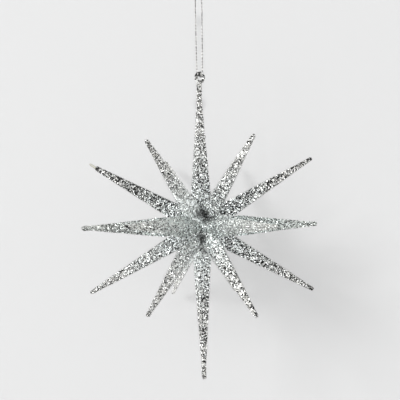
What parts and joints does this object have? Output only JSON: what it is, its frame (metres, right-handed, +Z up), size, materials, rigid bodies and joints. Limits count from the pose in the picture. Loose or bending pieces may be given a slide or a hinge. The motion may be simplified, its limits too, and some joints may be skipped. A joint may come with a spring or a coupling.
{
  "type": "hanging starburst ornament",
  "caption": "Hanging starburst ornament: tapering four-sided glittered rays on a small hub, with a moulded eyelet on the top ray and a doubled metallic cord closed by a knot.",
  "frame": {"origin": "hang point, right under the knot that closes the cord's loop", "axes": "+Z up along the cord, -Y the front (the eyelet's hole runs along Y), +X to the viewer's right"},
  "size_m": [0.1258, 0.1099, 0.2205],
  "materials": {
    "glitter_coat": "moulded plastic covered all over in fine silver glitter flakes",
    "metallic_cord": "twisted silver metallic thread"
  },
  "bodies": {
    "hanger": {"cord_knot": "metallic_cord"},
    "cord_loop": {"hanging_cord": "metallic_cord"},
    "star": {"hub_core": "glitter_coat", "ray_top": "glitter_coat", "ray_bottom": "glitter_coat", "ray_upper_right": "glitter_coat", "ray_upper_left": "glitter_coat", "ray_upper_front_right": "glitter_coat", "ray_upper_front_left": "glitter_coat", "ray_upper_back_right": "glitter_coat", "ray_upper_back_left": "glitter_coat", "ray_mid_right": "glitter_coat", "ray_mid_left": "glitter_coat", "ray_mid_front_right": "glitter_coat", "ray_mid_front_left": "glitter_coat", "ray_mid_back_right": "glitter_coat", "ray_mid_back_left": "glitter_coat", "ray_lower_right": "glitter_coat", "ray_lower_left": "glitter_coat", "ray_lower_front_right": "glitter_coat", "ray_lower_front_left": "glitter_coat", "ray_lower_back_right": "glitter_coat", "ray_lower_back_left": "glitter_coat"}
  },
  "joints": [
    {"name": "cord_twist", "type": "hinge", "parent": "hanger", "child": "cord_loop", "pos_m": [0, 0, 0], "axis": [0, 0, 1], "range_deg": [-180, 180], "stiffness_Nm_per_rad": 0.000026},
    {"name": "eyelet_swing", "type": "hinge", "parent": "cord_loop", "child": "star", "pos_m": [0, 0, -0.0514], "axis": [0, 1, 0], "range_deg": [-60, 60]}
  ]
}
